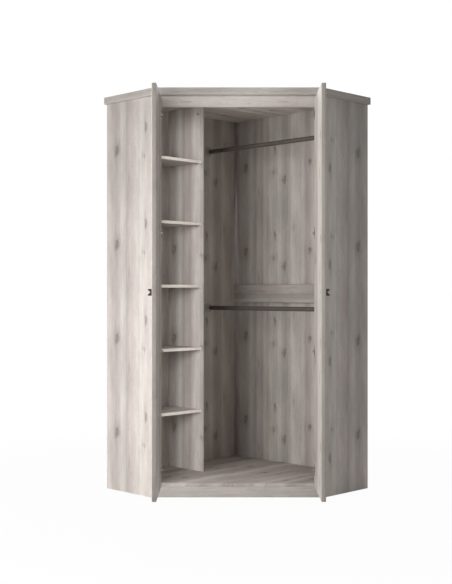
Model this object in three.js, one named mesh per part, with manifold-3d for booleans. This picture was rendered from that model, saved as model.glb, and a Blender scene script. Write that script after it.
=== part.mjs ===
// Corner wardrobe with two hinged doors, in millimetres, +Z up.
// The doors face -Y, the back corner points to +Y and the two wall sides run at 45 degrees.
// Both doors stand open at a right angle to the front.

import * as THREE from "three";
import Module from "manifold-3d";
import { mergeVertices } from "three/addons/utils/BufferGeometryUtils.js";

const wasm = await Module();
wasm.setup();

// Plan of the carcass
const frontHalfWidth = 454; // from the centre to a side panel's front corner
const sideDepth = 371; // of a side panel's outer face, from the wall to its front corner
const sideThickness = 22;
const backThickness = 16;
const frontSetback = 2; // floor panel and fascia behind the side panels' front edges
const plinthSetback = 3; // plinth behind the floor panel's front edge

// Heights; each shelf has 332 mm clear below it
const totalHeight = 2143;
const plinthHeight = 56;
const floorThickness = 18;
const shelfCount = 5;
const shelfThickness = 16;
const topBayClear = 234; // from the top shelf to the fascia's lower edge
const fasciaHeight = 73;
const topThickness = 22;

// Front rails
const plinthThickness = 16;
const fasciaThickness = 18;
const baseRailThickness = 16;

// Cornice
const corniceThickness = 20;
const corniceHeight = 38;
const corniceLip = 19; // beyond the closed doors' faces

// Shelf compartment
const shelfBayWidth = 417; // from the left side panel to the divider
const dividerThickness = 16;
const dividerBehindHinges = 36.7; // from the hinge plates back to the divider's front edge
const shelfFrontSetback = 2;

// Hanging rails, their sockets and the cross batten on the right wall
const railRadius = 12.5;
const railWall = 1;
const railFromWall = 255;
const upperRailDrop = 205; // from the top panel down to the rail's centre
const lowerRailRise = 910; // from the floor panel up to the rail's centre
const socketFlangeRadius = 29;
const socketFlangeThickness = 3;
const socketCollarWall = 3.5;
const socketCollarLength = 18;
const battenHeight = 108;
const battenThickness = 16;
const battenAboveRail = 31; // from the lower rail's centre up to the batten

// Doors
const doorThickness = 22;
const doorStandoff = 2.5; // from the side panels' front edges to a closed door
const doorSideOverlap = 1.5; // of a closed door on the side panel's front edge
const doorMiddleGap = 3;
const doorTopGap = 14; // below the cornice
const doorBottomOverlap = 12; // over the floor panel's front edge
const doorOuterRound = 4;
const doorInnerRound = 3;
const doorFrameWidth = 76;
const doorFieldDepth = 3;
const doorFieldSlope = 7;

// Knobs and their screws
const knobRadius = 17;
const knobDepth = 21;
const knobEdgeRound = 1;
const knobStemRadius = 9;
const knobStemLength = 3;
const knobGrooveDepth = 12.4;
const knobFromFreeEdge = 45;
const screwRadius = 2;
const screwHeadRadius = 4.5;
const screwHeadHeight = 2.4;
const knobBoreFloor = 1.6; // between the screw's bore and the groove
const screwTipGap = 0.5;

// Concealed hinges
const hingeCount = 4;
const hingeInset = 86; // from a door's end to its first hinge
const axisFromInnerFace = 12;
const axisFromHingeEdge = 12;
const cupRadius = 17.5;
const cupWall = 1;
const cupFromEdge = 3.5;
const cupRimWidth = 1.5;
const cupRimThickness = 1.2;
const cupWingWidth = 18;
const cupWingSpan = 58;
const notchClearance = 0.6; // beside the arm, in the notch through the cup's wall
const notchDepth = 5; // below the door's inner face
const armWidth = 10;
const armLegClearance = 4;
const armLegThickness = 3.5;
const armBarClearance = 0.85;
const armBarThickness = 4.5;
const knuckleRadius = 2.4;
const knuckleClearance = 0.3; // to the floor of the cup
const pinRadius = 1.9;
const pinEndClearance = 2.1; // to the wall of the cup
const plateFromFront = 20;
const plateLength = 44;
const plateHeight = 8;
const plateFootInset = 6;
const plateFootThickness = 2.7;
const plateFootSpan = 48;
const armTailInset = 2;

// Door buffers
const bufferRadius = 4.5;
const bufferFromMiddle = 60;
const bufferRise = 22; // of the upper buffers above the fascia's lower edge

// Clearances
const jointGap = 0.3; // between pieces that meet on an upright face
const turnGap = 0.3; // round a screw or rail in its bore
const cutOverrun = 5; // of a cutter past the face it opens
const weldDistance = 1e-4;

// Steps round curved surfaces
const railSteps = 32;
const cupSteps = 28;
const knobSteps = 36;
const screwSteps = 16;
const roundSteps = 4;

// Places that follow from the sizes above
const diagonal = Math.SQRT2;
const wallLength = frontHalfWidth * diagonal + sideDepth;
const sideCornerX = wallLength / diagonal;
const sideCornerY = sideCornerX - frontHalfWidth;
const backCornerY = sideCornerY + sideCornerX;
const floorTop = plinthHeight + floorThickness;
const carcassTop = totalHeight - topThickness;
const fasciaBottom = carcassTop - fasciaHeight;
const shelfPitch = (fasciaBottom - topBayClear - floorTop) / shelfCount;
const corniceBottom = totalHeight - corniceHeight;
const corniceFront = doorStandoff + doorThickness + corniceLip;
const topPanelFront = corniceFront - corniceThickness;
const mouthHalfWidth = frontHalfWidth - sideThickness * diagonal;
const lowerRailHeight = floorTop + lowerRailRise;
const upperRailHeight = carcassTop - upperRailDrop;
const doorBottom = floorTop - doorBottomOverlap;
const doorTop = corniceBottom - doorTopGap;
const doorHeight = doorTop - doorBottom;
const doorWidth = mouthHalfWidth + doorSideOverlap - doorMiddleGap / 2;
const hingeAxisX = mouthHalfWidth + doorSideOverlap - axisFromHingeEdge;
const hingeAxisY = -doorStandoff - axisFromInnerFace;
const cupBodyRadius = cupRadius - jointGap;
const cupInsideRadius = cupBodyRadius - cupWall;
const cupInsideDepth = axisFromInnerFace + knuckleRadius + knuckleClearance;
const cupBodyDepth = cupInsideDepth + cupWall;
const knobBoreDepth = knobDepth - knobGrooveDepth - knobBoreFloor;
const hingePitch = (doorHeight - 2 * hingeInset) / (hingeCount - 1);

// Finishes
const washedOak = { color: 0xb9aea6, roughness: 0.62, metalness: 0 };
const railBronze = { color: 0x3b3430, roughness: 0.45, metalness: 0.6 };
const socketGrey = { color: 0x5d5853, roughness: 0.5, metalness: 0.5 };
const knobBlack = { color: 0x26211f, roughness: 0.5, metalness: 0.3 };
const hingeSteel = { color: 0xb8b8b6, roughness: 0.3, metalness: 0.9 };
const bufferClear = { color: 0xd8d6d2, roughness: 0.4, metalness: 0 };

const piece = (name, geometry, finish) => {
  const mesh = new THREE.Mesh(geometry, new THREE.MeshStandardMaterial(finish));
  mesh.name = name;
  return mesh;
};

// Booleans on closed geometries
const solidOf = (geometry) => {
  const bare = geometry.clone();
  bare.deleteAttribute("normal");
  bare.deleteAttribute("uv");
  const welded = mergeVertices(bare, weldDistance);
  return new wasm.Manifold(
    new wasm.Mesh({
      numProp: 3,
      vertProperties: welded.attributes.position.array,
      triVerts: new Uint32Array(welded.index.array),
    }),
  );
};

const geometryOf = (solid) => {
  const mesh = solid.getMesh();
  const geometry = new THREE.BufferGeometry();
  geometry.setAttribute("position", new THREE.BufferAttribute(mesh.vertProperties, 3));
  geometry.setIndex(new THREE.BufferAttribute(mesh.triVerts, 1));
  geometry.computeVertexNormals();
  return geometry;
};

const joined = (first, ...others) =>
  geometryOf(others.reduce((whole, next) => whole.add(solidOf(next)), solidOf(first)));

const cutBy = (stock, ...cutters) =>
  geometryOf(cutters.reduce((whole, next) => whole.subtract(solidOf(next)), solidOf(stock)));

const common = (first, second) => geometryOf(solidOf(first).intersect(solidOf(second)));

// An upright prism on a plan outline
const prism = (outline, low, high) => {
  const shape = outline instanceof THREE.Shape ? outline : new THREE.Shape(outline);
  const geometry = new THREE.ExtrudeGeometry(shape, {
    depth: high - low,
    bevelEnabled: false,
    curveSegments: roundSteps,
  });
  return geometry.translate(0, 0, low);
};

const board = (name, outline, low, high) => piece(name, prism(outline, low, high), washedOak);

// An outline whose corners are [x, y, radius]
const roundedOutline = (corners) => {
  const points = corners.map(([x, y]) => new THREE.Vector2(x, y));
  const shape = new THREE.Shape();
  corners.forEach(([x, y, radius], i) => {
    const corner = points[i];
    const before = points.at(i - 1).clone().sub(corner).setLength(radius).add(corner);
    const after = points[(i + 1) % points.length].clone().sub(corner).setLength(radius).add(corner);
    if (i === 0) shape.moveTo(before.x, before.y);
    else shape.lineTo(before.x, before.y);
    if (radius > 0) shape.quadraticCurveTo(x, y, after.x, after.y);
  });
  shape.closePath();
  return shape;
};

// A turned solid whose axis is +Y, from its foot at zero
const turned = (profile, steps) =>
  new THREE.LatheGeometry(
    profile.map(([radius, height]) => new THREE.Vector2(radius, height)),
    steps,
  );

// A plain round rod whose axis is +Y, between two heights
const rod = (radius, low, high, steps) =>
  new THREE.CylinderGeometry(radius, radius, high - low, steps).translate(0, (low + high) / 2, 0);

// A point in plan, by its distance along the left wall from the side panel's outer face and by
// its distance from the wall
const byWall = (along, away) =>
  new THREE.Vector2(-sideCornerX + (along + away) / diagonal, sideCornerY + (along - away) / diagonal);

// The point at a given Y on a line square to the left wall
const byWallAtY = (along, y) => byWall(along, diagonal * (sideCornerY - y) + along);

const mirrored = (point) => new THREE.Vector2(-point.x, point.y);

// An outline that is the same on both sides, from its left half listed front to back
const symmetric = (leftHalf) => {
  const offMiddle = leftHalf.filter((point) => Math.abs(point.x) > weldDistance);
  return [...leftHalf, ...offMiddle.toReversed().map(mirrored)];
};

const wardrobe = new THREE.Group();
const leftSide = new THREE.Group();
const rightSide = new THREE.Group();
rightSide.scale.x = -1;
wardrobe.add(leftSide, rightSide);

// Side panels, with their front edges cut parallel to the front
const sideOutline = [
  byWall(0, 0),
  byWall(sideThickness, 0),
  byWallAtY(sideThickness, 0),
  byWallAtY(0, 0),
];
leftSide.add(board("side_panel_left", sideOutline, 0, carcassTop));
rightSide.add(board("side_panel_right", sideOutline, 0, carcassTop));

// Back panels, the left one running through to the corner
const innerSide = sideThickness + jointGap;
const backOutline = (end) => [
  byWall(innerSide, 0),
  byWall(innerSide, backThickness),
  byWall(end, backThickness),
  byWall(end, 0),
];
leftSide.add(board("back_panel_left", backOutline(wallLength), 0, carcassTop));
const rightBackEnd = wallLength - backThickness - jointGap;
rightSide.add(board("back_panel_right", backOutline(rightBackEnd), 0, carcassTop));

// Floor panel, plinth and the rail below the floor
const innerBack = backThickness + jointGap;
const floorOutline = symmetric([
  byWallAtY(innerSide, frontSetback),
  byWall(innerSide, innerBack),
  byWall(wallLength - innerBack, innerBack),
]);
wardrobe.add(board("floor_panel", floorOutline, plinthHeight, floorTop));

const crossRail = (front, thickness) =>
  symmetric([byWallAtY(innerSide, front), byWallAtY(innerSide, front + thickness)]);
const plinthFront = frontSetback + plinthSetback;
wardrobe.add(board("plinth_front", crossRail(plinthFront, plinthThickness), 0, plinthHeight));

const baseRailFront = plinthFront + plinthThickness + jointGap;
const baseRailHalf = baseRailThickness / 2;
const baseRailBack = backCornerY - diagonal * innerBack - baseRailHalf;
const baseRailOutline = symmetric([
  new THREE.Vector2(-baseRailHalf, baseRailFront),
  new THREE.Vector2(-baseRailHalf, baseRailBack),
]);
wardrobe.add(board("base_rail_center", baseRailOutline, 0, plinthHeight));

// Fascia, top panel and the cornice round it
const fasciaOutline = crossRail(frontSetback, fasciaThickness);
wardrobe.add(board("fascia_rail", fasciaOutline, fasciaBottom, carcassTop));

const topOutline = symmetric([
  byWallAtY(0, jointGap - topPanelFront),
  byWall(0, 0),
  byWall(wallLength, 0),
]);
wardrobe.add(board("top_panel", topOutline, carcassTop, totalHeight));

const corniceInner = byWallAtY(-jointGap, -topPanelFront);
const corniceOuter = byWallAtY(-corniceThickness, -corniceFront);
const corniceSide = [
  corniceOuter,
  corniceInner,
  byWall(-jointGap, 0),
  byWall(-corniceThickness, 0),
];
leftSide.add(board("cornice_left", corniceSide, corniceBottom, totalHeight));
rightSide.add(board("cornice_right", corniceSide, corniceBottom, totalHeight));
const corniceFrontOutline = symmetric([
  new THREE.Vector2(corniceOuter.x + jointGap, corniceOuter.y),
  new THREE.Vector2(corniceInner.x + jointGap, corniceInner.y),
]);
wardrobe.add(board("cornice_front", corniceFrontOutline, corniceBottom, totalHeight));

// Divider and shelves of the left compartment
const dividerStart = sideThickness + shelfBayWidth;
const panelInnerDepth = sideDepth + sideThickness;
const dividerFront = panelInnerDepth - plateFromFront - plateLength - dividerBehindHinges;
const dividerDepth = dividerFront - innerBack;
const inBay = (start, end, depth) => [
  byWall(start, innerBack),
  byWall(start, innerBack + depth),
  byWall(end, innerBack + depth),
  byWall(end, innerBack),
];
const dividerOutline = inBay(dividerStart, dividerStart + dividerThickness, dividerDepth);
leftSide.add(board("divider_panel", dividerOutline, floorTop, carcassTop));
const shelfOutline = inBay(innerSide, dividerStart - jointGap, dividerDepth - shelfFrontSetback);
for (let i = 1; i <= shelfCount; i += 1) {
  const shelfTop = floorTop + i * shelfPitch;
  leftSide.add(board(`shelf_${i}`, shelfOutline, shelfTop - shelfThickness, shelfTop));
}

// Cross batten on the right wall
const battenBottom = lowerRailHeight + battenAboveRail;
const battenOutline = [
  byWall(innerSide, innerBack),
  byWall(innerSide, innerBack + battenThickness),
  byWall(wallLength - innerBack, innerBack + battenThickness),
  byWall(wallLength - innerBack, innerBack),
];
rightSide.add(board("cross_batten", battenOutline, battenBottom, battenBottom + battenHeight));

// Hanging rails along the right wall, each in two sockets
const alongWall = -Math.PI / 4;
const railStart = innerSide + socketFlangeThickness + turnGap;
const railEnd = wallLength - innerBack - socketFlangeThickness - turnGap;
const railBore = railRadius - railWall;
const railProfile = [
  [railBore, 0],
  [railRadius, 0],
  [railRadius, railEnd - railStart],
  [railBore, railEnd - railStart],
  [railBore, 0],
];
const socketBore = railRadius + turnGap;
const socketProfile = [
  [0, 0],
  [socketFlangeRadius, 0],
  [socketFlangeRadius, socketFlangeThickness],
  [socketBore + socketCollarWall, socketFlangeThickness],
  [socketBore + socketCollarWall, socketCollarLength],
  [socketBore, socketCollarLength],
  [socketBore, socketFlangeThickness],
  [0, socketFlangeThickness],
];

const onRail = (mesh, along, turn, height) => {
  const place = byWall(along, railFromWall);
  mesh.position.set(place.x, place.y, height);
  mesh.rotation.z = alongWall + turn;
  rightSide.add(mesh);
};

for (const [level, height] of [
  ["upper", upperRailHeight],
  ["lower", lowerRailHeight],
]) {
  const rail = piece(`hanging_rail_${level}`, turned(railProfile, railSteps), railBronze);
  onRail(rail, railStart, 0, height);
  const near = piece(`rail_socket_${level}_right`, turned(socketProfile, railSteps), socketGrey);
  onRail(near, innerSide, 0, height);
  const far = piece(`rail_socket_${level}_left`, turned(socketProfile, railSteps), socketGrey);
  onRail(far, wallLength - innerBack, Math.PI, height);
}

// The left door, seen in plan from its hinge axis while it stands open
const innerFace = axisFromInnerFace;
const outerFace = axisFromInnerFace - doorThickness;
const hingeEdge = axisFromHingeEdge;
const freeEdge = axisFromHingeEdge - doorWidth;
const doorMiddle = (doorBottom + doorTop) / 2;
const knobY = freeEdge + knobFromFreeEdge;
const cupY = hingeEdge - cupFromEdge - cupRadius;
const cupPocketDepth = cupBodyDepth + jointGap;
const hingeHeights = Array.from(
  { length: hingeCount },
  (_, i) => doorBottom + hingeInset + i * hingePitch,
);

// A turned piece is laid along X, with its foot on the right
const lying = (geometry) => geometry.rotateZ(Math.PI / 2);

const doorGeometry = () => {
  const acrossOutline = roundedOutline([
    [outerFace, freeEdge, doorOuterRound],
    [innerFace, freeEdge, 0],
    [innerFace, hingeEdge, doorInnerRound],
    [outerFace, hingeEdge, doorOuterRound],
  ]);
  const uprightOutline = roundedOutline([
    [outerFace, -doorTop, doorOuterRound],
    [innerFace, -doorTop, 0],
    [innerFace, -doorBottom, 0],
    [outerFace, -doorBottom, doorOuterRound],
  ]);
  const across = prism(acrossOutline, doorBottom, doorTop);
  const upright = prism(uprightOutline, freeEdge, hingeEdge).rotateX(-Math.PI / 2);
  const slab = common(across, upright);

  // The sunk field in the outer face has sloping sides
  const fieldWidth = doorWidth - 2 * doorFrameWidth;
  const fieldHeight = doorHeight - 2 * doorFrameWidth;
  const field = new THREE.BoxGeometry(2 * doorFieldDepth, fieldWidth, fieldHeight);
  const corner = field.attributes.position;
  for (let i = 0; i < corner.count; i += 1) {
    if (corner.getX(i) < 0) {
      corner.setY(i, corner.getY(i) + 2 * doorFieldSlope * Math.sign(corner.getY(i)));
      corner.setZ(i, corner.getZ(i) + 2 * doorFieldSlope * Math.sign(corner.getZ(i)));
    }
  }
  field.translate(outerFace, (freeEdge + hingeEdge) / 2, doorMiddle);

  const screwHole = lying(
    rod(screwRadius + turnGap, -cutOverrun, doorThickness + cutOverrun, screwSteps),
  ).translate(innerFace, knobY, doorMiddle);
  const cupPockets = hingeHeights.map((height) =>
    lying(rod(cupRadius, -cutOverrun, cupPocketDepth, cupSteps)).translate(innerFace, cupY, height),
  );
  return cutBy(slab, field, screwHole, ...cupPockets);
};

const knobGeometry = () => {
  const front = knobDepth;
  const body = turned(
    [
      [0, 0],
      [knobStemRadius, 0],
      [knobStemRadius, knobStemLength],
      [knobRadius - knobEdgeRound, knobStemLength],
      [knobRadius, knobStemLength + knobEdgeRound],
      [knobRadius, front - knobEdgeRound],
      [knobRadius - knobEdgeRound, front],
      [0, front],
    ],
    knobSteps,
  );
  const reach = knobGrooveDepth + cutOverrun;
  const grooveOutline = [
    new THREE.Vector2(0, front - knobGrooveDepth),
    new THREE.Vector2(reach, front + cutOverrun),
    new THREE.Vector2(-reach, front + cutOverrun),
  ];
  const grooveHalf = knobRadius + cutOverrun;
  const groove = prism(grooveOutline, -grooveHalf, grooveHalf).rotateY(Math.PI / 2);
  const bore = rod(screwRadius + turnGap, -cutOverrun, knobBoreDepth, screwSteps);
  return lying(cutBy(body, groove, bore));
};

const screwGeometry = () => {
  const grip = knobBoreDepth - screwTipGap;
  const length = screwHeadHeight + turnGap + doorThickness + jointGap + grip;
  const profile = [
    [0, 0],
    [screwHeadRadius, 0],
    [screwHeadRadius, screwHeadHeight],
    [screwRadius, screwHeadHeight],
    [screwRadius, length],
    [0, length],
  ];
  return lying(turned(profile, screwSteps));
};

// Hinge cup, let into the door's inner face, with a notch where the arm passes its wall
const cupGeometry = () => {
  const lip = jointGap + cupRimThickness;
  const body = rod(cupBodyRadius, -lip, cupBodyDepth, cupSteps);
  const rim = rod(cupRadius + cupRimWidth, -lip, -jointGap, cupSteps);
  const wings = new THREE.BoxGeometry(cupWingWidth, cupRimThickness, cupWingSpan);
  wings.translate(0, -jointGap - cupRimThickness / 2, 0);
  const inside = rod(cupInsideRadius, -lip - cutOverrun, cupInsideDepth, cupSteps);
  const notchReach = cupRadius + cupRimWidth + cutOverrun;
  const notchHeight = lip + cutOverrun + notchDepth;
  const notchWidth = armWidth + 2 * notchClearance;
  const notch = new THREE.BoxGeometry(notchReach, notchHeight, notchWidth);
  notch.translate(notchReach / 2, notchDepth - notchHeight / 2, 0);
  return lying(cutBy(joined(body, rim, wings), inside, notch));
};

// Places round the hinge axis, by distance from it away from the side panel and along the panel
const byPanel = (away, along) =>
  new THREE.Vector2((away - along) / diagonal, (away + along) / diagonal);
const frontCorner = new THREE.Vector2(hingeAxisX - mouthHalfWidth, -hingeAxisY);
const panelFace = (frontCorner.x + frontCorner.y) / diagonal;
const panelFront = (frontCorner.y - frontCorner.x) / diagonal;

// Hinge arm with its pin: a leg that dips into the cup, a bar past the door's edge and a tail
const armGeometry = () => {
  const legInner = axisFromInnerFace + jointGap + cupRimThickness + armLegClearance;
  const legOuter = legInner + armLegThickness;
  const barInner = Math.hypot(axisFromInnerFace, axisFromHingeEdge) + armBarClearance;
  const barOuter = barInner + armBarThickness;
  const tailBottom = panelFace + jointGap + plateHeight + jointGap;
  const tailFront = panelFront + plateFromFront + armTailInset;
  const tailEnd = panelFront + plateFromFront + plateLength - armTailInset;
  const neckFront = tailFront - (barInner - tailBottom);
  const outline = new THREE.Shape([
    new THREE.Vector2(0, -knuckleRadius),
    new THREE.Vector2(legOuter, -knuckleRadius),
    new THREE.Vector2(legOuter, barOuter * diagonal - legOuter),
    byPanel(barOuter, tailEnd),
    byPanel(tailBottom, tailEnd),
    byPanel(tailBottom, tailFront),
    byPanel(barInner, neckFront),
    new THREE.Vector2(legInner, barInner * diagonal - legInner),
    new THREE.Vector2(legInner, knuckleRadius),
    new THREE.Vector2(0, knuckleRadius),
  ]);
  outline.absarc(0, 0, knuckleRadius, Math.PI / 2, (3 * Math.PI) / 2, false);
  const pinEnd = Math.sqrt(cupInsideRadius ** 2 - cupY ** 2) - pinEndClearance;
  const pin = rod(pinRadius, -pinEnd, pinEnd, screwSteps).rotateX(Math.PI / 2);
  return joined(prism(outline, -armWidth / 2, armWidth / 2), pin);
};

// Mounting plate on the side panel, with a spine that carries the arm
const plateGeometry = () => {
  const bottom = panelFace + jointGap;
  const start = panelFront + plateFromFront;
  const block = (top, from, to, width) =>
    prism(
      [byPanel(bottom, from), byPanel(top, from), byPanel(top, to), byPanel(bottom, to)],
      -width / 2,
      width / 2,
    );
  const spine = block(bottom + plateHeight, start, start + plateLength, armWidth);
  const foot = block(
    bottom + plateFootThickness,
    start + plateFootInset,
    start + plateLength - plateFootInset,
    plateFootSpan,
  );
  return joined(spine, foot);
};

const addDoor = (side, parent) => {
  const atAxis = new THREE.Group();
  atAxis.position.set(-hingeAxisX, hingeAxisY, 0);
  parent.add(atAxis);

  atAxis.add(piece(`door_${side}`, doorGeometry(), washedOak));

  const knob = piece(`knob_${side}`, knobGeometry(), knobBlack);
  knob.position.set(outerFace - jointGap, knobY, doorMiddle);
  atAxis.add(knob);

  const screw = piece(`knob_screw_${side}`, screwGeometry(), hingeSteel);
  screw.position.set(innerFace + turnGap + screwHeadHeight, knobY, doorMiddle);
  atAxis.add(screw);

  hingeHeights.forEach((height, i) => {
    const cup = piece(`hinge_cup_${side}_${i + 1}`, cupGeometry(), hingeSteel);
    cup.position.set(innerFace, cupY, height);
    const arm = piece(`hinge_arm_${side}_${i + 1}`, armGeometry(), hingeSteel);
    arm.position.z = height;
    const plate = piece(`hinge_plate_${side}_${i + 1}`, plateGeometry(), hingeSteel);
    plate.position.z = height;
    atAxis.add(cup, arm, plate);
  });
};
addDoor("left", leftSide);
addDoor("right", rightSide);

// Buffers that the closed doors meet, on the fascia and on the floor panel's edge
const bufferThickness = doorStandoff + frontSetback - 2 * jointGap;
const addBuffer = (name, parent, height) => {
  const buffer = piece(name, rod(bufferRadius, 0, bufferThickness, screwSteps), bufferClear);
  buffer.position.set(-bufferFromMiddle, frontSetback - jointGap - bufferThickness, height);
  parent.add(buffer);
};
const upperBufferHeight = fasciaBottom + bufferRise;
const lowerBufferHeight = floorTop - doorBottomOverlap / 2;
addBuffer("door_buffer_upper_left", leftSide, upperBufferHeight);
addBuffer("door_buffer_upper_right", rightSide, upperBufferHeight);
addBuffer("door_buffer_lower_left", leftSide, lowerBufferHeight);
addBuffer("door_buffer_lower_right", rightSide, lowerBufferHeight);

// The origin is on the floor below the middle of the wardrobe with its doors open
wardrobe.position.y = -(backCornerY + hingeAxisY + freeEdge) / 2;

export default wardrobe;
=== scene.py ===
import math

import bmesh
import bpy
from mathutils import Matrix, Vector


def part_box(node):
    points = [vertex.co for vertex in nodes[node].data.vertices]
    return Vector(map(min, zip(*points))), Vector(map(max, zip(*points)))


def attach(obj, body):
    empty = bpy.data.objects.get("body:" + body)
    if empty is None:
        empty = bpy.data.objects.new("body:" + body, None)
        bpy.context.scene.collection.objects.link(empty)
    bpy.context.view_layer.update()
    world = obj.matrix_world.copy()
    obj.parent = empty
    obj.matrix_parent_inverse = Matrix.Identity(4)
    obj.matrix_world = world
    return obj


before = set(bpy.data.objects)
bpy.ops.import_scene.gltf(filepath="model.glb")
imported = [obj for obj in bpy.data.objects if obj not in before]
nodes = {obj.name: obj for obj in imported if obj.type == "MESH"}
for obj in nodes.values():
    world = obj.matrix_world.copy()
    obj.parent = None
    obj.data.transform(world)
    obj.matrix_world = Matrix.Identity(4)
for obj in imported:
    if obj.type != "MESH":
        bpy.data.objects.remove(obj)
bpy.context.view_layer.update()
print("frame loaded:", len(nodes), "nodes")

# Plan directions, measured from the back corner of the two walls
backCorner = Vector((0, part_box("top_panel")[1].y, 0))
alongLeft = Vector((-1, -1, 0)).normalized()
alongRight = Vector((1, -1, 0)).normalized()
alongFront = Vector((1, 0, 0))
towardDoors = Vector((0, -1, 0))
upward = Vector((0, 0, 1))


def reach(node, direction):
    # lowest and highest place of a node along a direction from the back corner
    places = [direction.dot(vertex.co - backCorner) for vertex in nodes[node].data.vertices]
    return min(places), max(places)


def spotAt(left, right, height):
    return backCorner + alongLeft * left + alongRight * right + upward * height


# Camera, level, at the height of the door knobs
cameraView = {
    "aside": -0.0624,
    "height": 1.0781,
    "fromPanels": 5.495,  # ahead of the side panels' front edges
    "focalPixels": 1047.8,
    "imageHeight": 584,
    "sensor": 36.0,
    "clipEnd": 100.0,
}


def addCamera(view):
    data = bpy.data.cameras.new("camera")
    data.sensor_width = view["sensor"]
    data.lens = view["focalPixels"] / view["imageHeight"] * view["sensor"]
    data.clip_end = view["clipEnd"]
    camera = bpy.data.objects.new("camera", data)
    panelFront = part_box("side_panel_left")[0].y
    camera.location = (view["aside"], panelFront - view["fromPanels"], view["height"])
    camera.rotation_euler = (math.radians(90), 0, 0)
    bpy.context.scene.collection.objects.link(camera)
    bpy.context.scene.camera = camera


addCamera(cameraView)
bpy.context.scene.view_settings.view_transform = "Standard"
print("camera placed")


# Node helpers: a value that is a socket is linked, anything else is set
def addNode(tree, kind, inputs=None, **settings):
    node = tree.nodes.new(kind)
    for name, value in settings.items():
        setattr(node, name, value)
    for key, value in (inputs or {}).items():
        if isinstance(value, bpy.types.NodeSocket):
            tree.links.new(value, node.inputs[key])
        else:
            node.inputs[key].default_value = value
    return node


def calc(tree, operation, *values, clamp=False):
    inputs = dict(enumerate(values))
    return addNode(tree, "ShaderNodeMath", inputs, operation=operation, use_clamp=clamp).outputs[0]


def vectorCalc(tree, operation, first, second):
    node = addNode(tree, "ShaderNodeVectorMath", {0: first, 1: second}, operation=operation)
    return node.outputs["Value" if operation in ("DOT_PRODUCT", "LENGTH") else "Vector"]


def combine(tree, x, y, z):
    return addNode(tree, "ShaderNodeCombineXYZ", {0: x, 1: y, 2: z}).outputs[0]


def mixColor(tree, factor, first, second, blend="MIX"):
    inputs = {0: factor, 6: first, 7: second}  # 6 and 7 are the node's colour sockets
    return addNode(tree, "ShaderNodeMix", inputs, data_type="RGBA", blend_type=blend).outputs[2]


def rgba(color):
    return (*color, 1.0)


def toned(tree, color, tone):
    return mixColor(tree, 1.0, color, rgba(tone), "MULTIPLY")


def fadeOut(tree, value, inner, outer):
    # 1 up to inner, 0 from outer on
    inputs = {0: value, 1: inner, 2: outer, 3: 1.0, 4: 0.0}
    return addNode(tree, "ShaderNodeMapRange", inputs, interpolation_type="SMOOTHSTEP").outputs[0]


def noise(tree, place, depth, stretch, detail, roughness=0.55):
    stretched = vectorCalc(tree, "MULTIPLY", place, stretch)
    inputs = {
        "Vector": stretched,
        "W": depth,
        "Scale": 1.0,
        "Detail": detail,
        "Roughness": roughness,
    }
    return addNode(tree, "ShaderNodeTexNoise", inputs, noise_dimensions="4D")


def ramp(tree, value, stops):
    node = addNode(tree, "ShaderNodeValToRGB", {0: value})
    elements = node.color_ramp.elements
    while len(elements) < len(stops):
        elements.new(0.5)
    for element, (place, color) in zip(elements, stops):
        element.position = place
        element.color = rgba(color)
    return node.outputs[0]


def newMaterial(name):
    material = bpy.data.materials.new(name)
    material.use_nodes = True
    material.node_tree.nodes.clear()
    return material, material.node_tree


def finishMaterial(tree, inputs, height, strength, distance):
    relief = {"Height": height, "Strength": strength, "Distance": distance}
    bump = addNode(tree, "ShaderNodeBump", relief)
    shader = addNode(tree, "ShaderNodeBsdfPrincipled", {**inputs, "Normal": bump.outputs[0]})
    addNode(tree, "ShaderNodeOutputMaterial", {0: shader.outputs[0]})


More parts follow.
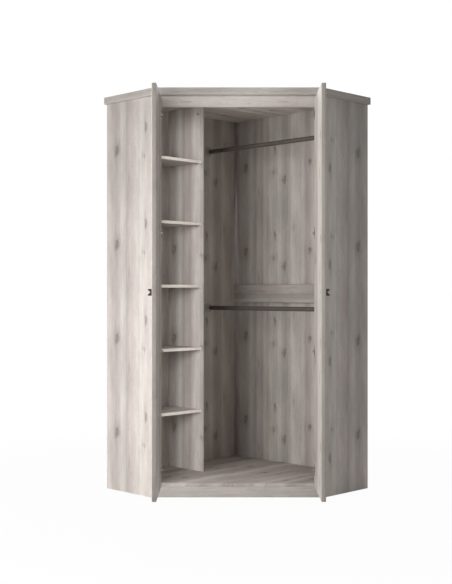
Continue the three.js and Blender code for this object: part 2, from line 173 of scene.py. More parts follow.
# The oak decor: a washed print that comes back after the same length across and along the grain.
# Places in the print are in metres; a stave is (place across, brightness, tint).
oakPrint = {
    "repeat": 0.51,
    "firstKnot": (0.065, 0.25),
    "darkGrain": (0.327, 0.303, 0.288),
    "paleWash": (0.706, 0.672, 0.645),
    "knotColor": (0.128, 0.101, 0.088),
    "tints": {
        "plain": (1.0, 1.0, 1.0),
        "pink": (1.014, 0.989, 0.991),
        "green": (0.995, 1.001, 0.987),
        "cream": (1.010, 0.999, 0.978),
    },
    "staves": (
        (0.000, 1.08, "pink"),
        (0.028, 0.93, "pink"),
        (0.066, 0.88, "pink"),
        (0.088, 0.97, "cream"),
        (0.118, 1.02, "cream"),
        (0.130, 0.91, "plain"),
        (0.145, 0.86, "pink"),
        (0.150, 0.74, "pink"),
        (0.155, 0.88, "pink"),
        (0.176, 0.97, "pink"),
        (0.200, 0.88, "pink"),
        (0.228, 1.05, "plain"),
        (0.262, 1.08, "green"),
        (0.281, 1.07, "green"),
        (0.294, 0.96, "plain"),
        (0.308, 1.06, "plain"),
        (0.330, 1.12, "plain"),
        (0.352, 1.17, "green"),
        (0.372, 0.92, "plain"),
        (0.398, 0.86, "pink"),
        (0.414, 0.92, "green"),
        (0.438, 1.06, "plain"),
        (0.460, 1.15, "plain"),
        (0.488, 1.19, "green"),
        (0.508, 1.12, "pink"),
    ),
    "staveSway": 0.22,  # share of the grain's sway that the staves follow
    # place from the first knot, half size of the heart, darkness of the heart and of its halo
    "knots": (
        ((0.0, 0.0), (0.024, 0.036), 0.60, 0.26),
        ((0.242, 0.097), (0.012, 0.042), 0.62, 0.20),
        ((0.226, -0.045), (0.020, 0.024), 0.36, 0.14),
        ((0.314, -0.089), (0.028, 0.029), 0.54, 0.24),
        ((0.105, -0.150), (0.008, 0.050), 0.26, 0.12),
        ((0.395, 0.135), (0.008, 0.038), 0.22, 0.12),
    ),
    "heartSolid": 0.3,  # share of a heart that is dark all over
    "haloSize": (1.6, 2.9),  # times the heart's size
    "openSize": (2.6, 2.4),  # the grain opens round a knot within this, times the heart's size
    "spread": 0.6,  # how much it opens
    # stretch, detail and size of the noises that make a knot's outline ragged
    "ragged": (
        ((95, 42, 42), 2.0, (0.017, 0.034, 0)),
        ((26, 20, 20), 1.0, (0.034, 0.05, 0)),
    ),
    "sway": {"size": 0.008, "stretch": (5, 5.5, 5.5), "detail": 2.0},  # the grain strays sideways
    # width and length of the figure, and how strongly it shows
    "figure": {
        "broad": (0.052, 0.60, 1.25),
        "middle": (0.015, 0.45, 0.48),
        "fine": (0.0040, 0.20, 0.38),
        "hair": (0.0013, 0.07, 0.30),
    },
    "figureDetail": 3.0,
    "figureDepth": 0.6,  # change through the board, against a streak's width
    "streakRoughness": 0.6,
    "clouds": {"stretch": (11, 4.2, 4.2), "detail": 2.0, "strength": 0.75},
    "tintPatches": {  # soft patches of a warmer and a cooler tint
        "shift": (3.1, 1.7, 0.4),
        "stretch": (14, 3.1, 3.1),
        "detail": 1.5,
        "edge": (0.38, 0.62),
        "warm": (1.016, 0.992, 0.989),
        "cool": (0.990, 1.0, 0.994),
    },
    "pores": {
        "width": 0.0011,
        "length": 0.032,
        "detail": 1.0,
        "depth": 700,
        "edge": (0.33, 0.42),
        "darkness": 0.30,
    },
    # in the halos and the hearts: the least share of their darkness, and what streaks and specks add
    "haloStreaks": {"edge": (0.36, 0.58), "least": 0.22, "added": 0.85},
    "heartSpecks": {
        "stretch": (190, 90, 90),
        "detail": 2.0,
        "edge": (0.36, 0.62),
        "least": 0.42,
        "added": 0.7,
    },
    "roughness": {"least": 0.50, "added": 0.16},
    "relief": {"fine": 0.7, "hair": 0.5, "pores": 0.6},
}


def ringPlaces(tree, look, along):
    # along the grain, the noises run round a circle, so that they come back with the print
    circle = look["repeat"] / math.tau
    turn = calc(tree, "DIVIDE", along, circle)
    ringX = calc(tree, "MULTIPLY", calc(tree, "COSINE", turn), circle)
    ringY = calc(tree, "MULTIPLY", calc(tree, "SINE", turn), circle)
    return ringX, ringY


def placeInPrint(tree, look, across, along, straight, through):
    # the place within one print, with a slightly ragged outline for the knots
    strays = []
    for stretch, detail, size in look["ragged"]:
        stray = noise(tree, straight, through, stretch, detail).outputs["Color"]
        centred = vectorCalc(tree, "SUBTRACT", stray, (0.5, 0.5, 0.5))
        strays.append(vectorCalc(tree, "MULTIPLY", centred, size))
    ragged = vectorCalc(tree, "ADD", *strays)
    printAcross = calc(tree, "WRAP", across, look["repeat"], 0.0)
    printAlong = calc(tree, "WRAP", along, look["repeat"], 0.0)
    return vectorCalc(tree, "ADD", combine(tree, printAcross, printAlong, 0), ragged)


def ovalReach(tree, local, half, times):
    # 0 in the middle of an oval round a knot, 1 on its outline
    scale = (1 / (half[0] * times[0]), 1 / (half[1] * times[1]), 0)
    return vectorCalc(tree, "LENGTH", vectorCalc(tree, "MULTIPLY", local, scale), (0, 0, 0))


def knotShares(tree, look, inPrint):
    # how dark the hearts and the halos are, and how far the knots push the grain aside
    hearts, halos, sideways = 0.0, 0.0, 0.0
    for (knotX, knotY), half, heart, halo in look["knots"]:
        centre = (look["firstKnot"][0] + knotX, look["firstKnot"][1] + knotY, 0)
        local = vectorCalc(tree, "SUBTRACT", inPrint, centre)
        inHeart = fadeOut(tree, ovalReach(tree, local, half, (1.0, 1.0)), look["heartSolid"], 1.0)
        inHalo = fadeOut(tree, ovalReach(tree, local, half, look["haloSize"]), 0.0, 1.0)
        inOpening = fadeOut(tree, ovalReach(tree, local, half, look["openSize"]), 0.0, 1.0)
        hearts = calc(tree, "ADD", hearts, calc(tree, "MULTIPLY", inHeart, heart))
        halos = calc(tree, "ADD", halos, calc(tree, "MULTIPLY", inHalo, halo))
        aside = addNode(tree, "ShaderNodeSeparateXYZ", {0: local}).outputs[0]
        sideways = calc(tree, "ADD", sideways, calc(tree, "MULTIPLY", aside, inOpening))
    return hearts, halos, sideways


def swayOf(tree, look, straight, through, sideways):
    # how far the grain strays from straight, with the opening round the knots
    sway = look["sway"]
    wave = noise(tree, straight, through, sway["stretch"], sway["detail"]).outputs["Fac"]
    swayed = calc(tree, "MULTIPLY", calc(tree, "SUBTRACT", wave, 0.5), sway["size"] * 2)
    return calc(tree, "SUBTRACT", swayed, calc(tree, "MULTIPLY", sideways, look["spread"]))


def streaks(tree, look, grain, depth, width, length, detail):
    stretch = (1 / width, 1 / length, 1 / length)
    return noise(tree, grain, depth, stretch, detail, look["streakRoughness"]).outputs["Fac"]


def washedColor(tree, look, grain, straight, through):
    # the figure and the clouds set the place between dark grain and pale wash
    layers = {}
    tone = 0.5
    for name, (width, length, weight) in look["figure"].items():
        depth = calc(tree, "MULTIPLY", through, look["figureDepth"] / width)
        layers[name] = streaks(tree, look, grain, depth, width, length, look["figureDetail"])
        tone = calc(tree, "MULTIPLY_ADD", calc(tree, "SUBTRACT", layers[name], 0.5), weight, tone)
    clouds = look["clouds"]
    cloudy = noise(tree, straight, through, clouds["stretch"], clouds["detail"]).outputs["Fac"]
    fromMean = calc(tree, "SUBTRACT", cloudy, 0.5)
    tone = calc(tree, "MULTIPLY_ADD", fromMean, clouds["strength"], tone, clamp=True)
    return mixColor(tree, tone, rgba(look["darkGrain"]), rgba(look["paleWash"])), layers


def staveColor(tree, look, across, swayed):
    # brightness and tint of the staves; the ramp holds half of it, so that no stop is over 1
    stops = []
    for place, bright, tint in look["staves"]:
        stops.append((place / look["repeat"], [part * bright * 0.5 for part in look["tints"][tint]]))
    followed = calc(tree, "ADD", across, calc(tree, "MULTIPLY", swayed, look["staveSway"]))
    staveAcross = calc(tree, "WRAP", followed, look["repeat"], 0.0)
    staves = ramp(tree, calc(tree, "DIVIDE", staveAcross, look["repeat"]), stops)
    return toned(tree, staves, (2.0, 2.0, 2.0))


def patchColor(tree, patch, straight, through):
    shifted = vectorCalc(tree, "ADD", straight, patch["shift"])
    patches = noise(tree, shifted, through, patch["stretch"], patch["detail"]).outputs["Fac"]
    inCool = fadeOut(tree, patches, *patch["edge"])
    return mixColor(tree, inCool, rgba(patch["warm"]), rgba(patch["cool"]))


def openPores(tree, look, grain, through):
    pore = look["pores"]
    depth = calc(tree, "MULTIPLY", through, pore["depth"])
    short = streaks(tree, look, grain, depth, pore["width"], pore["length"], pore["detail"])
    return fadeOut(tree, short, *pore["edge"])


def knotShade(tree, look, hearts, halos, fine, straight, through):
    # dark streaks in the halos and specks in the hearts
    halo, heart = look["haloStreaks"], look["heartSpecks"]
    inStreak = fadeOut(tree, fine, *halo["edge"])
    haloShare = calc(tree, "MULTIPLY_ADD", inStreak, halo["added"], halo["least"])
    specks = noise(tree, straight, through, heart["stretch"], heart["detail"]).outputs["Fac"]
    inSpeck = fadeOut(tree, specks, *heart["edge"])
    heartShare = calc(tree, "MULTIPLY_ADD", inSpeck, heart["added"], heart["least"])
    heartShade = calc(tree, "MULTIPLY", hearts, heartShare)
    return calc(tree, "MULTIPLY_ADD", halos, haloShare, heartShade, clamp=True)


def reliefHeight(tree, relief, layers, pores):
    hairHeight = calc(tree, "MULTIPLY", layers["hair"], relief["hair"])
    height = calc(tree, "MULTIPLY_ADD", layers["fine"], relief["fine"], hairHeight)
    return calc(tree, "SUBTRACT", height, calc(tree, "MULTIPLY", pores, relief["pores"]))


def makeOakPrint(look):
    group = bpy.data.node_groups.new("oakPrint", "ShaderNodeTree")
    group.interface.new_socket(name="Place", in_out="INPUT", socket_type="NodeSocketVector")
    for output, kind in (("Color", "Color"), ("Roughness", "Float"), ("Height", "Float")):
        group.interface.new_socket(name=output, in_out="OUTPUT", socket_type=f"NodeSocket{kind}")
    place = addNode(group, "NodeGroupInput").outputs["Place"]
    across, along, through = addNode(group, "ShaderNodeSeparateXYZ", {0: place}).outputs
    ringX, ringY = ringPlaces(group, look, along)
    straight = combine(group, across, ringX, ringY)
    inPrint = placeInPrint(group, look, across, along, straight, through)
    hearts, halos, sideways = knotShares(group, look, inPrint)
    swayed = swayOf(group, look, straight, through, sideways)
    grain = combine(group, calc(group, "ADD", across, swayed), ringX, ringY)

    color, layers = washedColor(group, look, grain, straight, through)
    color = mixColor(group, 1.0, color, staveColor(group, look, across, swayed), "MULTIPLY")
    patches = patchColor(group, look["tintPatches"], straight, through)
    color = mixColor(group, 1.0, color, patches, "MULTIPLY")
    pores = openPores(group, look, grain, through)
    poreShade = calc(group, "MULTIPLY", pores, look["pores"]["darkness"])
    color = mixColor(group, poreShade, color, rgba(look["knotColor"]))
    shade = knotShade(group, look, hearts, halos, layers["fine"], straight, through)
    color = mixColor(group, shade, color, rgba(look["knotColor"]))

    roughness = look["roughness"]
    rough = calc(group, "MULTIPLY_ADD", layers["fine"], roughness["added"], roughness["least"])
    height = reliefHeight(group, look["relief"], layers, pores)
    addNode(group, "NodeGroupOutput", {"Color": color, "Roughness": rough, "Height": height})
    return group


printGroup = makeOakPrint(oakPrint)

downward = -upward
# How the print lies on each board: across and along the grain, and where its first knot comes,
# measured from the back corner and from the ground
boards = {
    "side_panel_left": (alongRight, upward, 0.084, 0.315),
    "side_panel_right": (alongLeft, downward, 0.082, -0.305),
    "back_panel_left": (-alongLeft, upward, -0.507, 0.302),
    "back_panel_right": (alongRight, upward, 0.099, 0.302),
    "divider_panel": (alongRight, upward, 0.063, 0.302),
    "door_left": (towardDoors, upward, 1.060, 0.150),
    "door_right": (towardDoors, downward, 1.040, -0.230),
    "cross_batten": (upward, alongRight, 0.980, 0.395),
    "floor_panel": (alongRight, alongLeft, 0.055, 0.350),
    "top_panel": (alongRight, alongLeft, 0.150, 0.260),
    "fascia_rail": (upward, alongFront, 1.683, 0.105),
    "plinth_front": (upward, alongFront, -0.155, 0.240),
    "base_rail_center": (upward, towardDoors, -0.150, 0.200),
    "cornice_front": (upward, alongFront, 1.760, 0.215),
    "cornice_left": (upward, alongRight, 2.300, 0.520),
    "cornice_right": (upward, alongLeft, 2.020, 0.150),
    "shelf_1": (alongRight, alongLeft, 0.420, 0.610),
    "shelf_2": (alongRight, alongLeft, 0.180, 0.820),
    "shelf_3": (alongRight, alongLeft, 0.520, 0.700),
    "shelf_4": (alongRight, alongLeft, 0.250, 0.560),
    "shelf_5": (alongRight, alongLeft, 0.610, 0.760),
}
boardLook = {
    "specular": 0.35,
    "bump": (0.35, 0.0003),  # strength and depth
    "bandTurn": (0.45, 0.75),  # turned less than this to the board's faces, a surface is edge band
    "faceTurn": (0.6, 0.8),  # turned more than this to a side with painted light, it has that side's painted tone
}


def turnedTo(tree, direction):
    outward = addNode(tree, "ShaderNodeTexCoord").outputs["Normal"]
    return vectorCalc(tree, "DOT_PRODUCT", outward, tuple(direction))


def placeAlong(tree, direction):
    # a point's place along a direction from the back corner
    place = addNode(tree, "ShaderNodeTexCoord").outputs["Object"]
    fromCorner = vectorCalc(tree, "SUBTRACT", place, tuple(backCorner))
    return vectorCalc(tree, "DOT_PRODUCT", fromCorner, tuple(direction))


# The edge bands of the doors, shelves and divider: the way through the board, and their tone. The
# shelves' bands are lightened as painted light on their front edges; the doors' darker bands are partly
# the band's own colour and partly painted shade.
bandToneAndPaintedLight = {
    # doors: partly the band's own darker colour, partly painted shade on the edges
    "door": {"through": alongFront, "tone": (0.635, 0.612, 0.595)},
    # shelves: painted light, the front edges are lightened to stand in for light falling on them
    "shelf": {"through": upward, "tone": (1.43, 1.43, 1.42)},
    "divider": {"through": alongLeft, "tone": (1.02, 1.02, 1.02)},
}


def bandColorAndPaintedLight(tree, name, color):
    band = bandToneAndPaintedLight.get(name.split("_")[0])
    if not band:
        return color
    # tones the edge bands: painted light on the shelves' edges, partly painted shade on the doors' edges
    turned = calc(tree, "ABSOLUTE", turnedTo(tree, band["through"]))
    onBand = fadeOut(tree, turned, *boardLook["bandTurn"])
    return mixColor(tree, onBand, color, toned(tree, color, band["tone"]))


# Painted light and shade on some faces: the top's underside, the floor's upper face and the plinth's
# front are lightened, and the floor's front edge darkened, to stand in for light that the lamps don't
# give
paintedFaceLight = {
    "top_panel": ((downward, (1.52, 1.54, 1.53)),),
    "floor_panel": ((upward, (1.14, 1.13, 1.12)), (towardDoors, (0.98, 0.98, 0.98))),
    "plinth_front": ((towardDoors, (1.03, 1.03, 1.03)),),
}


def paintedFaceColor(tree, name, color):
    for direction, tone in paintedFaceLight.get(name, ()):
        # painted light: lightens or darkens the face turned to each listed side
        away = fadeOut(tree, turnedTo(tree, direction), *boardLook["faceTurn"])
        color = mixColor(tree, away, toned(tree, color, tone), color)
    return color


# Painted shade: thin dark lines along the batten's two long edges stand in for the shadow in the gap
# between batten and wall
paintedGapShade = {"cross_batten": {"width": 0.0045, "solidShare": 0.4, "tone": (0.74, 0.73, 0.72)}}


def gapShadeColor(tree, name, color, across):
    line = paintedGapShade.get(name)
    if not line:
        return color
    low, high = reach(name, across)
    half = (high - low) / 2
    fromMiddle = calc(tree, "SUBTRACT", placeAlong(tree, across), (low + high) / 2)
    solid = line["width"] * line["solidShare"]
    # darkens a thin line along each long edge, as painted shade
    inside = fadeOut(tree, calc(tree, "ABSOLUTE", fromMiddle), half - line["width"], half - solid)
    return mixColor(tree, inside, toned(tree, color, line["tone"]), color)


def oakMaterial(name, across, along, knotAcross, knotAlong):
    material, tree = newMaterial(f"oak_{name}")
    printX, printY = oakPrint["firstKnot"]
    inPrint = combine(
        tree,
        calc(tree, "ADD", placeAlong(tree, across), printX - knotAcross),
        calc(tree, "ADD", placeAlong(tree, along), printY - knotAlong),
        placeAlong(tree, across.cross(along)),
    )
    oak = addNode(tree, "ShaderNodeGroup", {"Place": inPrint}, node_tree=printGroup)
    color = bandColorAndPaintedLight(tree, name, oak.outputs["Color"])
    color = paintedFaceColor(tree, name, color)
    color = gapShadeColor(tree, name, color, across)
    inputs = {
        "Base Color": color,
        "Roughness": oak.outputs["Roughness"],
        "Specular IOR Level": boardLook["specular"],
    }
    finishMaterial(tree, inputs, oak.outputs["Height"], *boardLook["bump"])
    return material


# Metal and plastic finishes: colour, worn colour, metallic, roughness, size and depth of the grain
finishes = {
    "railBronze": ((0.088, 0.078, 0.071), (0.112, 0.100, 0.092), 0.05, 0.64, (60, 60, 60), 0.00004),
    "socketGrey": ((0.42, 0.39, 0.37), (0.49, 0.455, 0.43), 0.10, 0.50, (240, 240, 240), 0.00008),
    "knobBlack": ((0.017, 0.0145, 0.013), (0.034, 0.029, 0.026), 0.25, 0.46, (420, 420, 420), 0.00010),
    "hingeNickel": ((0.34, 0.32, 0.30), (0.26, 0.245, 0.23), 1.0, 0.44, (130, 130, 900), 0.00003),
    "screwZinc": ((0.44, 0.43, 0.41), (0.32, 0.31, 0.295), 1.0, 0.38, (300, 300, 300), 0.00003),
    "camZinc": ((0.27, 0.255, 0.24), (0.36, 0.34, 0.32), 0.7, 0.42, (500, 500, 500), 0.00006),
    "bufferClear": ((0.54, 0.515, 0.49), (0.48, 0.46, 0.435), 0.0, 0.45, (220, 220, 220), 0.00003),
}
# Their wear is half small marks and half wide patches
wearLook = {
    "marksDetail": 4.0,
    "patchStretch": (22, 22, 22),
    "patchDetail": 3.0,
    "patchDepth": 5.0,
    "noiseRoughness": 0.6,
    "edge": (0.40, 0.62),
    "roughSpread": 0.24,
    "bumpStrength": 0.4,
}


def fittingMaterial(name, color, worn, metallic, roughness, grain, depth):
    material, tree = newMaterial(name)
    place = addNode(tree, "ShaderNodeTexCoord").outputs["Object"]
    noiseRough = wearLook["noiseRoughness"]
    marks = noise(tree, place, 0.0, grain, wearLook["marksDetail"], noiseRough).outputs["Fac"]
    patchLook = (wearLook["patchDepth"], wearLook["patchStretch"], wearLook["patchDetail"], noiseRough)
    patches = noise(tree, place, *patchLook).outputs["Fac"]
    wear = calc(tree, "MULTIPLY_ADD", marks, 0.5, calc(tree, "MULTIPLY", patches, 0.5))
    wornShare = calc(tree, "SUBTRACT", 1.0, fadeOut(tree, wear, *wearLook["edge"]))
    leastRough = roughness - wearLook["roughSpread"] / 2
    inputs = {
        "Base Color": mixColor(tree, wornShare, rgba(color), rgba(worn)),
        "Metallic": metallic,
        "Roughness": calc(tree, "MULTIPLY_ADD", wear, wearLook["roughSpread"], leastRough),
    }
    finishMaterial(tree, inputs, marks, wearLook["bumpStrength"], depth)
    return material


fittingLooks = {name: fittingMaterial(name, *values) for name, values in finishes.items()}
print("materials made:", len(boards), "oak,", len(fittingLooks), "metal and plastic")

# Edges: the solids' triangles are welded, their edges get a small round and soft shading
edgeLook = {"boardRound": 0.0009, "segments": 2, "smoothUnder": 31.0, "weld": 0.00001}
# Finish and edge round of each kind of fitting, by the start of its name
fittingKinds = {
    "hanging_rail": ("railBronze", 0.00025),
    "rail_socket": ("socketGrey", 0.0005),
    "knob_screw": ("screwZinc", 0.0005),
    "knob": ("knobBlack", 0.0005),
    "hinge": ("hingeNickel", 0.00025),
    "door_buffer": ("bufferClear", 0.0005),
}


def shadeNodes(tree, geometry):
    smooth = {"Geometry": geometry, "Shade Smooth": True}
    allSmooth = addNode(tree, "GeometryNodeSetShadeSmooth", smooth, domain="FACE").outputs[0]
    angle = addNode(tree, "GeometryNodeInputMeshEdgeAngle").outputs[0]
    compare = {0: angle, 1: math.radians(edgeLook["smoothUnder"])}
    sharp = addNode(tree, "FunctionNodeCompare", compare, operation="GREATER_THAN", data_type="FLOAT")
    edges = {"Geometry": allSmooth, "Selection": sharp.outputs[0], "Shade Smooth": False}
    return addNode(tree, "GeometryNodeSetShadeSmooth", edges, domain="EDGE").outputs[0]


def weldNodes(tree, geometry):
    near = {"Geometry": geometry, "Distance": edgeLook["weld"]}
    merged = addNode(tree, "GeometryNodeMergeByDistance", near).outputs[0]
    oldNormals = {"Geometry": merged, "Name": "custom_normal"}
    return addNode(tree, "GeometryNodeRemoveAttribute", oldNormals).outputs[0]


def makeMeshGroup(name, build):
    group = bpy.data.node_groups.new(name, "GeometryNodeTree")
    group.interface.new_socket(name="Mesh", in_out="INPUT", socket_type="NodeSocketGeometry")
    group.interface.new_socket(name="Mesh", in_out="OUTPUT", socket_type="NodeSocketGeometry")
    result = build(group, addNode(group, "NodeGroupInput").outputs[0])
    addNode(group, "NodeGroupOutput", {0: result})
    return group


weldGroup = makeMeshGroup("weldTriangles", weldNodes)
shadeGroup = makeMeshGroup("shadeByAngle", shadeNodes)


def dress(node, material, width):
    piece = nodes[node]
    piece.data.materials.clear()
    piece.data.materials.append(material)
    weld = piece.modifiers.new("weld", "NODES")
    weld.node_group = weldGroup
    bevel = piece.modifiers.new("round", "BEVEL")
    bevel.width = width
    bevel.segments = edgeLook["segments"]
    bevel.limit_method = "ANGLE"
    bevel.angle_limit = math.radians(edgeLook["smoothUnder"])
    bevel.use_clamp_overlap = True
    shade = piece.modifiers.new("shade", "NODES")
    shade.node_group = shadeGroup


def dressFitting(node):
    for start, (finish, width) in fittingKinds.items():
        if node.startswith(start):
            dress(node, fittingLooks[finish], width)
            return


for name, lay in boards.items():
    dress(name, oakMaterial(name, *lay), edgeLook["boardRound"])
for name in nodes:
    dressFitting(name)
print("boards and fittings dressed")


# Small fittings. Each is a turned shape that stands on a face, with a star recess where it is driven.
def addRing(mesh, radii, height, stand):
    ring = []
    for step, radius in enumerate(radii):
        angle = math.tau * (step + 0.5) / len(radii)
        spot = Vector((radius * math.cos(angle), radius * math.sin(angle), height))
        ring.append(mesh.verts.new(stand @ spot))
    return ring


def turnedPart(mesh, shape, stand):
    steps = shape["steps"]
    rings = [addRing(mesh, [radius] * steps, height, stand) for radius, height in shape["profile"]]
    recess = shape.get("recess")
    if recess:
        quarter = steps // 4
        arm = (0, quarter - 1)  # the two steps either side of each quarter's edge
        radii = [recess["reach"] if step % quarter in arm else recess["core"] for step in range(steps)]
        topHeight = shape["profile"][-1][1]
        for height in (topHeight, topHeight - recess["depth"]):
            rings.append(addRing(mesh, radii, height, stand))
    for low, high in zip(rings, rings[1:]):
        for here in range(steps):
            after = (here + 1) % steps
            mesh.faces.new((low[here], low[after], high[after], high[here]))
    mesh.faces.new(rings[-1])
    mesh.faces.new(tuple(reversed(rings[0])))


def facing(spot, direction, turn):
    rotation = direction.to_track_quat("Z", "Y").to_matrix().to_4x4()
    return Matrix.Translation(spot) @ rotation @ Matrix.Rotation(turn, 4, "Z")


def addFittings(name, shape, places, body, material):
    mesh = bmesh.new()
    for count, (spot, direction) in enumerate(places):
        turnedPart(mesh, shape, facing(spot, direction, shape.get("turn", 0.0) * count))
    data = bpy.data.meshes.new(name)
    mesh.to_mesh(data)
    mesh.free()
    data.materials.append(material)
    piece = bpy.data.objects.new(name, data)
    bpy.context.scene.collection.objects.link(piece)
    shade = piece.modifiers.new("shade", "NODES")
    shade.node_group = shadeGroup
    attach(piece, body)


def domed(radius, height, edge, flatShare=0.72, steps=4):
    # a pan head's outline: upright edge, then a round shoulder to a flat top
    shoulder = []
    for step in range(steps + 1):
        angle = math.pi / 2 * step / steps
        across = radius - (radius * (1 - flatShare)) * (1 - math.cos(angle))
        shoulder.append((across, edge + (height - edge) * math.sin(angle)))
    return [(radius, 0.0), *shoulder]


# Screws of the hinges: two in each cup's wings, two in each plate's foot and two on each arm
hingeScrews = {
    "profile": domed(0.0032, 0.0016, 0.0004),
    "recess": {"reach": 0.0019, "core": 0.0008, "depth": 0.0011},
    "steps": 16,
    "turn": 1.1,
    "fromRim": 0.019,  # from the cup's rim to its middle
    "wingSpread": 0.0235,
    "footSpread": 0.0165,
    "footDrop": 0.0013,  # of the foot's top below the plate's middle
    "armRise": 0.0152,  # of the arm's top above the plate's middle
    "armPlaces": (-0.012, 0.009),
}


def addHingeScrews(screws):
    for side, sign in (("left", 1), ("right", -1)):
        inward = Vector((sign, 0, 0))
        panelOut = Vector((sign, 1, 0)).normalized()
        backward = Vector((-sign, 1, 0)).normalized()
        cupPlaces, platePlaces, armPlaces = [], [], []
        number = 1
        while f"hinge_cup_{side}_{number}" in nodes:
            low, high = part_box(f"hinge_cup_{side}_{number}")
            face = high.x if sign > 0 else low.x
            cupHeight = (low.z + high.z) / 2
            for offset in (-screws["wingSpread"], screws["wingSpread"]):
                spot = Vector((face, low.y + screws["fromRim"], cupHeight + offset))
                cupPlaces.append((spot, inward))
            low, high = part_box(f"hinge_plate_{side}_{number}")
            middle = (low + high) / 2
            for offset in (-screws["footSpread"], screws["footSpread"]):
                platePlaces.append((middle - panelOut * screws["footDrop"] + upward * offset, panelOut))
            for offset in screws["armPlaces"]:
                armPlaces.append((middle + panelOut * screws["armRise"] + backward * offset, panelOut))
            number += 1
        zinc = fittingLooks["screwZinc"]
        addFittings(f"cup_screws_{side}", screws, cupPlaces, f"{side}_door", zinc)
        addFittings(f"plate_screws_{side}", screws, platePlaces, "carcass", zinc)
        addFittings(f"arm_screws_{side}", screws, armPlaces, "carcass", zinc)


addHingeScrews(hingeScrews)

# Three screws in each rail socket's flange
socketScrews = {
    "profile": domed(0.0034, 0.0014, 0.0003),
    "recess": {"reach": 0.002, "core": 0.0008, "depth": 0.001},
    "steps": 16,
    "turn": 0.7,
    "pitchRadius": 0.0227,
    "count": 3,
    "gap": 0.0003,  # from the tube's end to the flange
}


def addSocketScrews(screws):
    places = []
    for level in ("upper", "lower"):
        tube = f"hanging_rail_{level}"
        low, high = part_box(tube)
        near, far = reach(tube, alongRight)
        lineLeft = sum(reach(tube, alongLeft)) / 2
        height = (low.z + high.z) / 2
        for place, direction in ((near - screws["gap"], alongRight), (far + screws["gap"], -alongRight)):
            centre = spotAt(lineLeft, place, height)
            for number in range(screws["count"]):
                angle = math.tau * number / screws["count"] + math.pi / 2
                offset = alongLeft * math.cos(angle) + upward * math.sin(angle)
                places.append((centre + offset * screws["pitchRadius"], direction))
    addFittings("socket_screws", screws, places, "carcass", fittingLooks["socketGrey"])


addSocketScrews(socketScrews)

# Pins that carry the shelves, two in the side panel and two in the divider for each
shelfPins = {
    "profile": [
        (0.0045, 0.0),
        (0.0045, 0.0012),
        (0.0025, 0.0014),
        (0.0025, 0.0078),
        (0.0021, 0.0086),
        (0.0012, 0.009),
    ],
    "steps": 20,
    "fromEnds": 0.035,
    "drop": 0.0026,  # of a pin's middle below its shelf
}


def addShelfPins(pins):
    places = []
    sideFace = reach("divider_panel", alongLeft)[1]
    panelFace = reach("side_panel_left", alongLeft)[0]
    for name in sorted(node for node in nodes if node.startswith("shelf_")):
        back, front = reach(name, alongRight)
        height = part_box(name)[0].z - pins["drop"]
        for right in (back + pins["fromEnds"], front - pins["fromEnds"]):
            places.append((spotAt(sideFace, right, height), alongLeft))
            places.append((spotAt(panelFace, right, height), -alongLeft))
    addFittings("shelf_pins", pins, places, "carcass", fittingLooks["screwZinc"])


addShelfPins(shelfPins)

# The cam that draws the divider to the top board
dividerCam = {
    "profile": [(0.0072, 0.0), (0.0072, 0.0004), (0.0067, 0.0009), (0.0054, 0.0010)],
    "recess": {"reach": 0.0040, "core": 0.0014, "depth": 0.0009},
    "steps": 24,
    "fromEnd": 0.044,
    "fromFront": 0.029,
}


def addCam(cam):
    face = reach("divider_panel", alongLeft)[1]
    front = reach("divider_panel", alongRight)[1]
    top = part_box("divider_panel")[1].z
    spot = spotAt(face, front - cam["fromFront"], top - cam["fromEnd"])
    addFittings("divider_cam", cam, [(spot, alongLeft)], "carcass", fittingLooks["camZinc"])


addCam(dividerCam)

# Screws through the back panels into the floor, the divider and each other
backScrews = {
    "profile": [(0.0042, 0.0), (0.0042, 0.0002), (0.0034, 0.0004)],
    "recess": {"reach": 0.0022, "core": 0.0009, "depth": 0.0003},
    "steps": 16,
    "turn": 0.9,
    "alongFloor": 6,
    "upThePanel": 6,
    "fromEnds": 0.07,
}


def spread(low, high, count):
    return [low + (high - low) * number / (count - 1) for number in range(count)]


def addBackScrews(screws):
    low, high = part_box("back_panel_left")
    floorHeight = sum(corner.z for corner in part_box("floor_panel")) / 2
    fromEnds = screws["fromEnds"]
    heights = spread(low.z + fromEnds * 2, high.z - fromEnds, screws["upThePanel"])
    dividerPlace = sum(reach("divider_panel", alongLeft)) / 2
    cornerPlace = sum(reach("back_panel_left", alongRight)) / 2
    places = []
    near, far = reach("floor_panel", alongLeft)
    for left in spread(near + fromEnds, far - fromEnds, screws["alongFloor"]):
        places.append((spotAt(left, 0, floorHeight), -alongRight))
    near, far = reach("floor_panel", alongRight)
    for right in spread(near + fromEnds, far - fromEnds, screws["alongFloor"]):
        places.append((spotAt(0, right, floorHeight), -alongLeft))
    for height in heights:
        places.append((spotAt(dividerPlace, 0, height), -alongRight))
        places.append((spotAt(0, cornerPlace, height), -alongLeft))
    addFittings("back_screws", screws, places, "carcass", fittingLooks["screwZinc"])


addBackScrews(backScrews)
print("small fittings added")

# Floor, sky and lamps. At level 1 a lamp shows a colour as it is written on a face turned to it.
studio = {
    "floorRadius": 40.0,
    "floorSides": 96,
    "floorDrop": 0.0002,  # below the wardrobe's foot
    "floorColor": (0.80, 0.785, 0.77),
    "floorGlow": 0.96,  # share of plain white in the floor near the wardrobe, as the camera sees it
    "glowFades": (1.1, 3.2),  # from here outward the floor turns to plain white
    "skyLevel": 0.08,
    "skyColor": (1.0, 0.98, 0.95),
    "aim": (0.0, -0.15, 1.05),
}
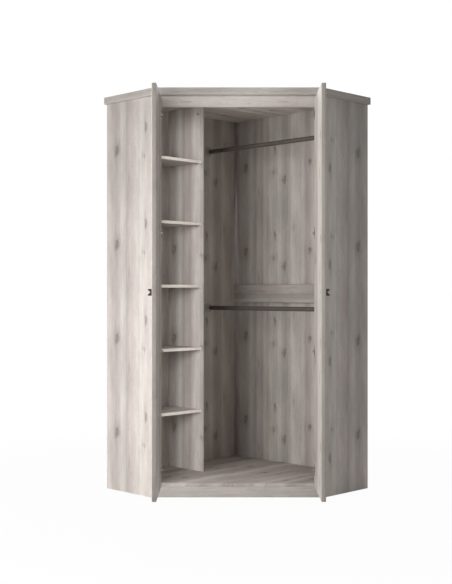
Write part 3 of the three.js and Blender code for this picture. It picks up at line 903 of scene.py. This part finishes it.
# azimuth from the front, elevation, distance, width, height, level, colour and what it lights
lamps = {
    "leftFront": (-38, 7, 3.2, 1.8, 2.8, 0.80, (1.0, 0.99, 0.978), "allButPanelAndMouth"),
    "mouth": (-15.5, 8, 4.0, 1.0, 2.0, 0.38, (1.0, 0.99, 0.978), "mouthOnly"),
    "mouthRight": (22, 8, 4.0, 1.0, 2.0, 0.13, (1.0, 0.985, 0.97), "mouthOnly"),
    "leftPanel": (-20, -7, 3.2, 1.0, 1.6, 1.22, (1.0, 0.99, 0.98), "leftPanelOnly"),
    "doors": (-75, 20, 3.0, 1.2, 1.8, 0.46, (1.0, 0.99, 0.978), "doorsOnly"),
    "shelves": (-10.5, 8, 5.5, 1.3, 2.2, 0.65, (1.0, 0.99, 0.978), "shelvesOnly"),
    "bays": (4, 5, 5.5, 1.0, 2.2, 0.12, (1.0, 0.985, 0.97), "shelvesOnly"),
    "right": (25, 14, 2.4, 1.0, 1.8, 0.11, (1.0, 0.98, 0.955), "all"),
    "above": (0, 78, 5.5, 3.0, 3.0, 0.06, (1.0, 0.985, 0.965), "all"),
    "behindLeft": (-150, 24, 5.5, 2.4, 2.6, 0.40, (1.0, 0.99, 0.98), "all"),
    "behindRight": (146, 20, 5.5, 2.4, 2.6, 0.34, (1.0, 0.99, 0.98), "all"),
}


def collect(name, pieces, leaveOut=False):
    group = bpy.data.collections.new(name)
    for piece in pieces:
        group.objects.link(piece)
    if leaveOut:
        for item in group.collection_objects:
            item.light_linking.link_state = "EXCLUDE"
    return group


# What each lamp lights, and whether the open doors throw its shadow
doorPieces = [nodes["door_left"], nodes["door_right"]]
mouthPieces = [nodes["fascia_rail"], nodes["cornice_front"]]
shelfPieces = [nodes[name] for name in nodes if name.startswith("shelf_") or name == "divider_panel"]
leftPanel = [nodes["side_panel_left"]]
pastDoors = collect("all_but_doors", doorPieces, True)
elsewhere = collect("all_but_panel_and_mouth", leftPanel + mouthPieces, True)
lampReach = {
    "all": (None, None),
    "allButPanelAndMouth": (elsewhere, pastDoors),
    "mouthOnly": (collect("mouth_only", mouthPieces), None),
    "shelvesOnly": (collect("shelves_only", shelfPieces), pastDoors),
    "doorsOnly": (collect("doors_only", doorPieces), pastDoors),
    "leftPanelOnly": (collect("left_panel_only", leftPanel), pastDoors),
}


def seenDirectly(tree):
    # 1 for what the camera sees, straight or in a shiny face
    path = addNode(tree, "ShaderNodeLightPath")
    seen = calc(tree, "MAXIMUM", path.outputs["Is Camera Ray"], path.outputs["Is Glossy Ray"])
    return calc(tree, "MAXIMUM", seen, path.outputs["Is Transmission Ray"])


def mixShaders(tree, share, first, second):
    return addNode(tree, "ShaderNodeMixShader", {0: share, 1: first.outputs[0], 2: second.outputs[0]})


def addSky(look):
    world = bpy.data.worlds.new("studio")
    bpy.context.scene.world = world
    world.use_nodes = True
    tree = world.node_tree
    tree.nodes.clear()
    soft = {"Color": rgba(look["skyColor"]), "Strength": look["skyLevel"]}
    light = addNode(tree, "ShaderNodeBackground", soft)
    white = addNode(tree, "ShaderNodeBackground", {"Color": (1, 1, 1, 1), "Strength": 1.0})
    mixed = mixShaders(tree, seenDirectly(tree), light, white)
    addNode(tree, "ShaderNodeOutputWorld", {0: mixed.outputs[0]})


def addFloor(look):
    mesh = bmesh.new()
    bmesh.ops.create_circle(mesh, cap_ends=True, segments=look["floorSides"], radius=look["floorRadius"])
    data = bpy.data.meshes.new("studio_floor")
    mesh.to_mesh(data)
    mesh.free()
    material, tree = newMaterial("studioFloor")
    plain = addNode(tree, "ShaderNodeBsdfDiffuse", {"Color": rgba(look["floorColor"])})
    glow = addNode(tree, "ShaderNodeEmission", {"Color": (1, 1, 1, 1), "Strength": 1.0})
    place = addNode(tree, "ShaderNodeTexCoord").outputs["Object"]
    near = fadeOut(tree, vectorCalc(tree, "LENGTH", place, (0, 0, 0)), *look["glowFades"])
    whiteShare = calc(tree, "SUBTRACT", 1.0, calc(tree, "MULTIPLY", near, 1.0 - look["floorGlow"]))
    mixed = mixShaders(tree, calc(tree, "MULTIPLY", seenDirectly(tree), whiteShare), plain, glow)
    addNode(tree, "ShaderNodeOutputMaterial", {0: mixed.outputs[0]})
    data.materials.append(material)
    floor = bpy.data.objects.new("studio_floor", data)
    floor.location.z = -look["floorDrop"]
    bpy.context.scene.collection.objects.link(floor)


def addLamp(name, azimuth, elevation, distance, width, height, level, color, lights):
    data = bpy.data.lights.new(name, "AREA")
    data.shape = "RECTANGLE"
    data.size, data.size_y = width, height
    data.color = color
    data.energy = level * math.pi ** 2 * distance ** 2
    lamp = bpy.data.objects.new(name, data)
    turn, rise = math.radians(azimuth), math.radians(elevation)
    away = Vector((math.sin(turn) * math.cos(rise), -math.cos(turn) * math.cos(rise), math.sin(rise)))
    lamp.location = Vector(studio["aim"]) + away * distance
    lamp.rotation_euler = (-away).to_track_quat("-Z", "Y").to_euler()
    lamp.visible_camera = False
    receivers, blockers = lampReach[lights]
    lamp.light_linking.receiver_collection = receivers
    lamp.light_linking.blocker_collection = blockers
    bpy.context.scene.collection.objects.link(lamp)


addSky(studio)
addFloor(studio)
for lampName, values in lamps.items():
    addLamp(lampName, *values)
print("studio set")
